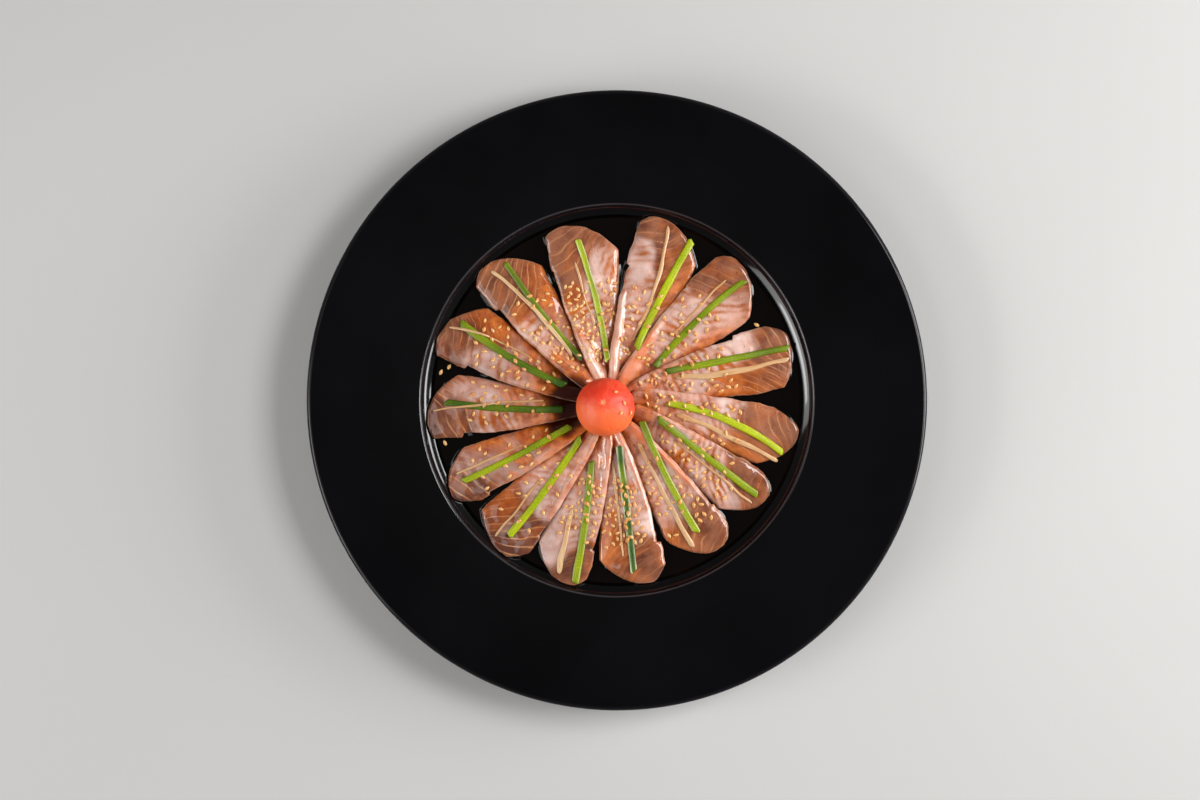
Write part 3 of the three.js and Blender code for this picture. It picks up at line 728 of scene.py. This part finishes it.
def soaking_and_shadow(index, spot, pale, band):
    """How much sauce has soaked in at a point, from 0 to 1, and up to 2 where the tomato's painted shadow
    falls.
    """
    p, along, _, half, x, y = spot
    rich = SLICES[index].rich
    wet = hollow(index, along, (1 + p) * half) * (1 - 0.3 * pale)
    wet += rich * 0.6 * smooth(0.5, 0.95, p) * (1 - 0.6 * pale) * (1 - 0.6 * smooth(60, 80, along))
    flake = flakes_at(index, along, p * half) * FLAKE
    stained = smooth(-0.05, 0.3, ripple(p * half * 0.5, flake, 5, index + 60)) * (1 - 0.3 * pale)
    wet += stained * mix(0.7, 0.25, smooth(52, 70, along))
    wet += (1 - smooth(24, 58, along)) * smooth(-0.35, 0.2, ripple(x, y, 6, index + 61))
    soak_and_shadow = clamp(wet * (1 - 0.82 * band))
    # adds the tomato's painted shadow
    return soak_and_shadow + painted_tomato_shadow(x, y) * (2 - soak_and_shadow)


def hue_looks(index, spot, pale, band):
    """How warm the flesh is, how much painted highlight lies along its outline, and how clear the flakes'
    seams are.
    """
    p, along, across, half, x, y = spot
    piece = SLICES[index]
    warm = max(piece.rich * smooth(-0.35, 0.45, p + 0.25 * ripple(x, y, 14, index + 50)), piece.blush * band)
    warm *= 1 - 0.7 * smooth(66, 84, along)
    from_edge = min((1 - abs(p)) * half, tip_reach(piece, p) - along)
    # a pale band just inside the outline: painted highlight of the wet edges
    outline = (1 - smooth(0, 0.9, from_edge)) * clamp(0.6 + 1.2 * ripple(along, across, 5, index + 80))
    seams = mix(*piece.lines, pale) * (0.65 + 1.3 * ripple(along, p * half, 10, index + 90))
    return clamp(warm), outline, clamp(seams)


def form_looks(index, spot):
    """How far a point stands up as part of a pillow, and how light the slice's tip is, which is partly
    painted shade on the slices at the left.
    """
    p, along, _, half, _, _ = spot
    piece = SLICES[index]
    clearness = clamp(piece.lines[1] * (0.5 + 1.5 * ripple(p * half, along, 11, index + 12)))
    bulge = 1 - clearness * (1 - pillows(index, along, p * half, (1 + p) * half))
    return bulge, piece.shade[1], 0.0


def slice_piece(index, material):
    """One slice of fish, with its flakes, its rounded wet edges and its rolled left edge."""
    mesh = slab(*SLICE_CELLS)
    looks, hues, forms, places = [], [], [], []
    for point in mesh.verts:
        s, t, up = point.co
        spot = slice_spot(index, s, t)
        p, along, _, half, x, y = spot
        base = underside(index, x, y) + curl_height(p, along)
        dip = 0.7 * smooth(1.6, 0.2, base - FISH["bed"])
        point.co = (x, y, slice_top(index, p, along, x, y) if up > 0.5 else base - dip)
        pale = clamp(paleness(index, p, along, p * half))
        band = clamp(1.3 * roll(index, along, (1 + p) * half))
        looks.append((pale, band, soaking_and_shadow(index, spot, pale, band)))
        hues.append(hue_looks(index, spot, pale, band))
        forms.append(form_looks(index, spot))
        flakes = flakes_at(index, along, p * half)
        places.append(((half * (1 + p)) / SLICE_MAP[0], flakes / SLICE_MAP[1]))
    name = f"fish_{index + 1:02d}"
    return make_piece(f"{name}_slice", mesh, material, "fish", [name], looks, places, hue=hues, form=forms)


def place_on(piece, x, y):
    """A point of the plate in a slice's own axes, as (p, along, half), with half the slice's width there."""
    angle = math.radians(piece.bearing)
    dx, dy = x - ROSETTE[0], y - ROSETTE[1]
    along = dx * math.cos(angle) + dy * math.sin(angle)
    across = dx * math.sin(angle) - dy * math.cos(angle)
    half = half_width(piece, along)
    return (across - shift(piece, along)) / half, along, half


def on_slice(index, x, y, margin=0.0):
    """Where a point of the plate lies on a slice widened by a margin, as (p, along), or None."""
    piece = SLICES[index]
    p, along, half = place_on(piece, x, y)
    beside = abs(p) * half < half + margin
    if beside and FISH["inner_radius"] - margin < along < tip_reach(piece, clamp(p, -1, 1)) + margin:
        return p, along
    return None


def surface_at(x, y):
    """The highest fish surface under a point, or the sauce."""
    highest = SAUCE_TOP
    for index in range(len(SLICES)):
        found = on_slice(index, x, y)
        if found:
            highest = max(highest, slice_top(index, *found, x, y))
    return highest


# ------------------------------------------------------------------ sauce

def beyond_slices(x, y):
    """How far a point lies outside the nearest slice's outline."""
    bearing = math.degrees(math.atan2(y - ROSETTE[1], x - ROSETTE[0]))
    nearest = FAR
    for piece in SLICES:
        if abs(turn_between(piece.bearing, bearing)) > 36:  # too far round to be the nearest
            continue
        p, along, half = place_on(piece, x, y)
        beside = (abs(p) - 1) * half
        beyond = along - tip_reach(piece, clamp(p, -1, 1))
        outside = math.hypot(max(0, beside), max(0, beyond))
        nearest = min(nearest, outside if outside > 0 else max(beside, beyond))
    return nearest


def make_sauce():
    """The pool, which climbs a little at the slices' edges and at the well's wall."""
    pool = POOL
    drop = CURVE_HEIGHT - SAUCE_TOP
    waterline = PLATE["floor_radius"] + math.sqrt(PLATE["wall_curve"] ** 2 - drop ** 2)
    bottom = PLATE["floor_height"] + 0.15
    rings = [mix(pool["inner"], waterline, i / pool["rings"]) for i in range(pool["rings"] + 1)]
    profile = [(0, SAUCE_TOP), (pool["inner"] / 2, SAUCE_TOP), *[(r, SAUCE_TOP) for r in rings]]
    profile += [(PLATE["floor_radius"] + 1, bottom), (0, bottom)]
    mesh = turned(profile, pool["around"])
    looks = []
    for point in mesh.verts:
        x, y, z = point.co
        radius = math.hypot(x, y)
        middle = 1 - smooth(26, 52, math.hypot(x - ROSETTE[0], y - ROSETTE[1]))
        thin = 0.0
        if z > SAUCE_TOP - 0.5 and radius > pool["inner"]:
            away = max(0.0, beyond_slices(x, y))
            climb = pool["climb"] * clamp(1 - away / pool["climb_length"]) ** 2 * smooth(34, 50, radius)
            climb *= clamp(0.35 + 1.6 * ripple(x, y, 11, 5))
            at_wall = pool["wall_climb"] * math.exp(-(waterline - radius) / 0.8)
            wave = 0.03 * ripple(x, y, 9, 3)
            point.co.z = z + max(climb, at_wall) + wave
            thin = 0.6 * math.exp(-(waterline - radius) / 1.2)
        looks.append((middle, thin, 0.0))
    return make_piece("sauce_pool", mesh, sauce_material(), "sauce", ["sauce"], looks)


# ------------------------------------------------------------------ chive and ginger strips

def strip_length(line):
    x0, y0 = from_rosette(*line.outer)
    x1, y1 = from_rosette(*line.inner)
    return math.hypot(x1 - x0, y1 - y0)


def strip_point(line, t, right=0.0):
    """A point of a strip's middle line, from t = 0 at its outer end to 1 at its inner, moved to its right."""
    x0, y0 = from_rosette(*line.outer)
    x1, y1 = from_rosette(*line.inner)
    length = strip_length(line)
    aside = right + line.bow * 4 * t * (1 - t)
    return mix(x0, x1, t) + aside * (y0 - y1) / length, mix(y0, y1, t) + aside * (x1 - x0) / length


def resting_line(line, form, ground):
    """The height of a strip's underside at each station: it bridges small hollows and follows large ones."""
    last = form["along"]
    touch = []
    for i in range(last + 1):
        sides = [strip_point(line, i / last, side * line.width) for side in (-0.4, 0, 0.4)]
        touch.append(max(ground(*side) for side in sides))
    reach = max(1, round(form["bridging"] * last / strip_length(line)))

    def around(heights, i):
        return [heights[min(last, max(0, j))] for j in range(i - reach, i + reach + 1)]

    bridged = [max(around(touch, i)) for i in range(last + 1)]
    return [sum(around(bridged, i)) / (2 * reach + 1) for i in range(last + 1)]


laid = []  # the strips made so far, each as (strip, thickness, heights of its underside)


def over_strips(x, y):
    """The highest surface under a point: sauce, fish, or a strip that is already laid."""
    highest = surface_at(x, y)
    for line, thickness, heights in laid:
        x0, y0 = from_rosette(*line.outer)
        x1, y1 = from_rosette(*line.inner)
        length = strip_length(line)
        t = ((x - x0) * (x1 - x0) + (y - y0) * (y1 - y0)) / length ** 2
        if 0 <= t <= 1:
            sx, sy = strip_point(line, t)
            if math.hypot(sx - x, sy - y) < line.width * 0.42:
                highest = max(highest, heights[round(t * (len(heights) - 1))] + thickness)
    return highest


def strip_piece(name, line, form, material, slot, seed):
    """Lays a strip on what is under it, with fine ribs along it."""
    sunk = 0.12
    mesh = slab(form["across"], form["along"])
    heights = resting_line(line, form, over_strips)
    laid.append((line, form["thickness"] - sunk, heights))
    length = strip_length(line)
    looks, places = [], []
    for point in mesh.verts:
        s, t, up = point.co
        t = (t + 1) / 2
        p = math.sin(s * math.pi / 2)
        from_end = min(t, 1 - t) * length
        narrowing = math.sqrt(1 - clamp(1 - from_end / form["taper"]) ** 2 * 0.75)
        wander = form["wander"] * ripple(t * length, seed * 5, 14, seed) * smooth(0, 8, from_end)
        width = line.width * (0.96 + form["uneven"] * ripple(t * length, 3, 15, seed)) * narrowing
        slant = form["cut"] * p * line.width * (1 - smooth(0, 5, from_end)) * math.sin(seed * 2.4 + 5 * t)
        x, y = strip_point(line, t + slant / length, p * width / 2 + wander)
        station = t * form["along"]
        low = min(int(station), form["along"] - 1)
        rest = mix(heights[low], heights[low + 1], station - low) - sunk
        ribs = 0.06 * ripple(p * 6, t * length / 14, 1.6, seed)
        solid = form["thickness"] * (math.sqrt(max(0.0, 1 - p ** 4 * 0.92)) - 0.05 * p * p) + ribs
        open_cut = form["thickness"] * mix(0.42, 1.0, p * p) * math.sqrt(max(0.0, 1 - p ** 8 * 0.7))
        top = mix(solid, open_cut, line.split) * narrowing
        point.co = (x, y, rest + (top if up > 0.5 else 0.0))
        # the cut edges' white, partly painted highlight
        cut = line.split * smooth(0.5, 0.8, abs(p)) * (0.5 + 0.8 * ripple(t * length, p, 6, seed + 2))
        tone = line.tone + 0.3 * ripple(t * length, p, 18, seed) - 0.25 * smooth(0.75, 1, t)
        looks.append((clamp(tone), clamp(cut), 0.0))
        places.append((p * 0.5 + 0.5 + seed, t * length / STRIP_MAP))
    return make_piece(name, mesh, material, slot, [name.rsplit("_", 1)[0]], looks, places)


# ------------------------------------------------------------------ tomato

def make_tomato():
    """The tomato, with soft dents, a crease and the star of its scar in a shallow pit."""
    t = TOMATO
    mesh = bmesh.new()
    bmesh.ops.create_uvsphere(mesh, u_segments=t["around"], v_segments=t["up"], radius=1.0)
    looks = []
    for point in mesh.verts:
        x, y, z = point.co
        bearing = math.degrees(math.atan2(y, x))
        off_x, off_y = x * t["radius"] - SCAR[0], y * t["radius"] - SCAR[1]
        from_scar = math.hypot(off_x, off_y) if z > 0 else FAR
        lobes = 1 + 0.22 * math.cos(5 * math.atan2(off_y, off_x) + 0.6)
        pit = math.exp(-(from_scar / 1.5) ** 2)
        right = smooth(0.15, 0.6, x) * smooth(-0.7, 0.2, y)
        dent = 0.35 * ripple(x * 14, y * 14, 9, 1 + z) + 0.12 * ripple(x * 14 + z * 9, y * 14, 3, 2)
        dent += 0.3 * right * ripple(x * 14, y * 14, 2.4, 6 + z)
        crease = 0.35 * math.exp(-((bearing - 8) / 6) ** 2) * smooth(0.2, 0.5, 1 - z) * (z > 0)
        swell = t["radius"] - 0.3 + dent - 0.6 * pit - crease
        threads = 0.5 + 0.5 * ripple(bearing * 0.35, z * 3, 1.2, 4)
        point.co = (ROSETTE[0] + x * swell, ROSETTE[1] + y * swell, t["height"] + z * swell * t["squash"])
        star = 0.9 * clamp(1.3 - from_scar / (1.3 * lobes)) if from_scar < 5 else 0.0
        # lighter orange towards the bottom of the view, darker red towards the top
        looks.append((smooth(0.45, -0.5, y + 0.25 * x), clamp(star), threads))
    return make_piece("tomato_peeled", mesh, tomato_material(), "tomato", ["tomato"], looks)


def tomato_top(x, y):
    """The height of the tomato's skin over a point of the plate."""
    off = math.hypot(x - ROSETTE[0], y - ROSETTE[1]) / TOMATO["radius"]
    return TOMATO["height"] + TOMATO["radius"] * TOMATO["squash"] * math.sqrt(max(0.0, 1 - off * off))


# ------------------------------------------------------------------ sesame seeds

Seed = namedtuple("Seed", "x y z normal turn toast size")
UP = Vector((0, 0, 1))


def slope_at(ground, x, y):
    """The upward direction of a surface at a point, leaning no more than a limit."""
    step, limit = 0.7, 1.1
    rise_x = ground(x + step, y) - ground(x - step, y)
    rise_y = ground(x, y + step) - ground(x, y - step)
    lean_x = clamp(-rise_x / (2 * step), -limit, limit)
    lean_y = clamp(-rise_y / (2 * step), -limit, limit)
    return Vector((lean_x, lean_y, 1)).normalized()


def clear_of_strips(x, y, clearance):
    step = 0.04  # of a strip's length
    for line in CHIVES + GINGERS:
        for i in range(round(1 / step) + 1):
            sx, sy = strip_point(line, i * step)
            if math.hypot(sx - x, sy - y) < line.width / 2 + clearance:
                return False
    return True


def seeds_on(index, ground):
    """Evenly spread seeds on a slice. The first ones, as many as its solid holds, keep clear of strips."""
    piece = SLICES[index]
    found = []
    for i in range(1, SEED_TRIES):
        if len(found) == piece.seeds + piece.more:
            break
        loose = len(found) >= piece.seeds
        clearance, spacing = LOOSE_SEED if loose else (SEED["clearance"], SEED["spacing"])
        along = mix(*piece.near, fraction(0.61 * index + i * EVEN_STEPS[0]))
        across = mix(*piece.wide, fraction(0.37 * index + i * EVEN_STEPS[1])) * half_width(piece, along)
        across += shift(piece, along)
        aside = math.degrees(math.atan2(across, along))
        x, y = from_rosette(piece.bearing - aside, math.hypot(along, across))
        if not on_slice(index, x, y, -clearance):
            continue
        if any(on_slice((index + k) % len(SLICES), x, y, clearance) for k in (1, 2, 3)):
            continue
        if any(math.hypot(seed.x - x, seed.y - y) <= spacing for seed in found):
            continue
        if not (loose or clear_of_strips(x, y, clearance)):
            continue
        if loose and ripple(x, y, 9, index + 7) < -0.12:
            continue
        turn = TURN * fraction(i * TURN_STEP + index * 0.11)
        toast = fraction(i * TOAST_STEP + index * 0.31)
        found.append(Seed(x, y, ground(x, y), slope_at(ground, x, y), turn, toast, 0.8 + 0.25 * toast))
    return found


def all_seeds():
    """The seeds on the slices and strips, in the sauce and on the tomato."""
    seeds = [seed for index in range(len(SLICES)) for seed in seeds_on(index, over_strips)]
    for bearing, distance in SAUCE_SEEDS:
        x, y = from_rosette(bearing, distance)
        seeds.append(Seed(x, y, SAUCE_TOP, UP, math.radians(2 * bearing), 0.3, 1.0))
    for bearing, fall in TOMATO_SEEDS:
        x, y = from_rosette(bearing, TOMATO["radius"] * math.sin(math.radians(fall)))
        normal = slope_at(tomato_top, x, y)
        seeds.append(Seed(x, y, tomato_top(x, y), normal, math.radians(2 * bearing), 0.6, 0.8))
    return seeds


def make_seeds():
    """All seeds as one mesh, each a small ball drawn out to a drop."""
    mesh = bmesh.new()
    looks = []
    for seed in all_seeds():
        ball = bmesh.ops.create_uvsphere(mesh, u_segments=SEED["around"], v_segments=SEED["up"], radius=0.5)
        tilt = UP.rotation_difference(seed.normal)
        place = (
            Matrix.Translation((seed.x, seed.y, seed.z))
            @ tilt.to_matrix().to_4x4()
            @ Matrix.Rotation(seed.turn, 4, "Z")
        )
        for point in ball["verts"]:
            x, y, z = point.co
            narrow = 1 - 0.42 * smooth(-0.1, 0.5, y) - 0.1 * smooth(0.1, -0.5, y)
            size = seed.size
            shaped = Vector((
                x * narrow * SEED["width"] * size, y * SEED["length"] * size,
                z * narrow * SEED["height"] * size + SEED["height"] * size / 2 - SEED["sunk"],
            ))
            point.co = place @ shaped
            looks.append((seed.toast, smooth(0.2, 0.5, y), 0.0))
    return make_piece("sesame_seeds", mesh, seed_material(), "fish", [], looks)


# ------------------------------------------------------------------ floor, lights and camera

def make_floor():
    mesh = bmesh.new()
    bmesh.ops.create_grid(mesh, x_segments=8, y_segments=8, size=FLOOR_SIZE / 2)
    data = bpy.data.meshes.new("floor")
    mesh.to_mesh(data)
    mesh.free()
    paint = Shader("pale_floor", Roughness=0.8)
    cloud = paint.speckle(paint.place(), 3, 2)
    data.materials.append(paint.finish(cloud.blend(colour(186, 185, 183), colour(196, 195, 193))))
    floor = bpy.data.objects.new("floor", data)
    bpy.context.scene.collection.objects.link(floor)


def add_softbox(name, bearing, elevation, distance, size, power, spread):
    """A rectangular light that looks at the plate from a bearing and an elevation, in degrees. A spread
    below 180 degrees keeps it off the floor, as a grid does."""
    light = bpy.data.lights.new(name, "AREA")
    light.shape = "RECTANGLE"
    light.size, light.size_y = size
    light.energy = power
    light.spread = math.radians(spread)
    box = bpy.data.objects.new(name, light)
    a, e = math.radians(bearing), math.radians(elevation)
    place = Vector((math.cos(a) * math.cos(e), math.sin(a) * math.cos(e), math.sin(e))) * distance
    box.location = place
    box.rotation_euler = place.to_track_quat("Z", "Y").to_euler()
    bpy.context.scene.collection.objects.link(box)


def make_studio():
    make_floor()
    for softbox in SOFTBOXES:
        add_softbox(*softbox)
    world = bpy.data.worlds.new("studio")
    world.use_nodes = True
    sky = world.node_tree.nodes["Background"].inputs
    sky["Color"].default_value = (1, 1, 1, 1)
    sky["Strength"].default_value = WORLD_LIGHT
    bpy.context.scene.world = world
    bpy.context.scene.view_settings.view_transform = "Standard"
    camera = bpy.data.cameras.new("camera")
    camera.lens, camera.sensor_width = CAMERA["lens"], CAMERA["sensor_width"]
    holder = bpy.data.objects.new("camera", camera)
    holder.location = CAMERA["place"]
    bpy.context.scene.collection.objects.link(holder)
    bpy.context.scene.camera = holder


# ------------------------------------------------------------------ the whole plate

make_studio()
make_plate()
make_sauce()
raw_fish = fish_material()
for number in range(len(SLICES)):
    slice_piece(number, raw_fish)
green, root = chive_material(), ginger_material()
for number, stalk in enumerate(CHIVES):
    strip_piece(f"chive_{number + 1:02d}_stalk", stalk, CHIVE, green, "chive", number)
for number, thread in enumerate(GINGERS):
    strip_piece(f"ginger_{number + 1:02d}_thread", thread, GINGER, root, "ginger", number)
make_tomato()
make_seeds()

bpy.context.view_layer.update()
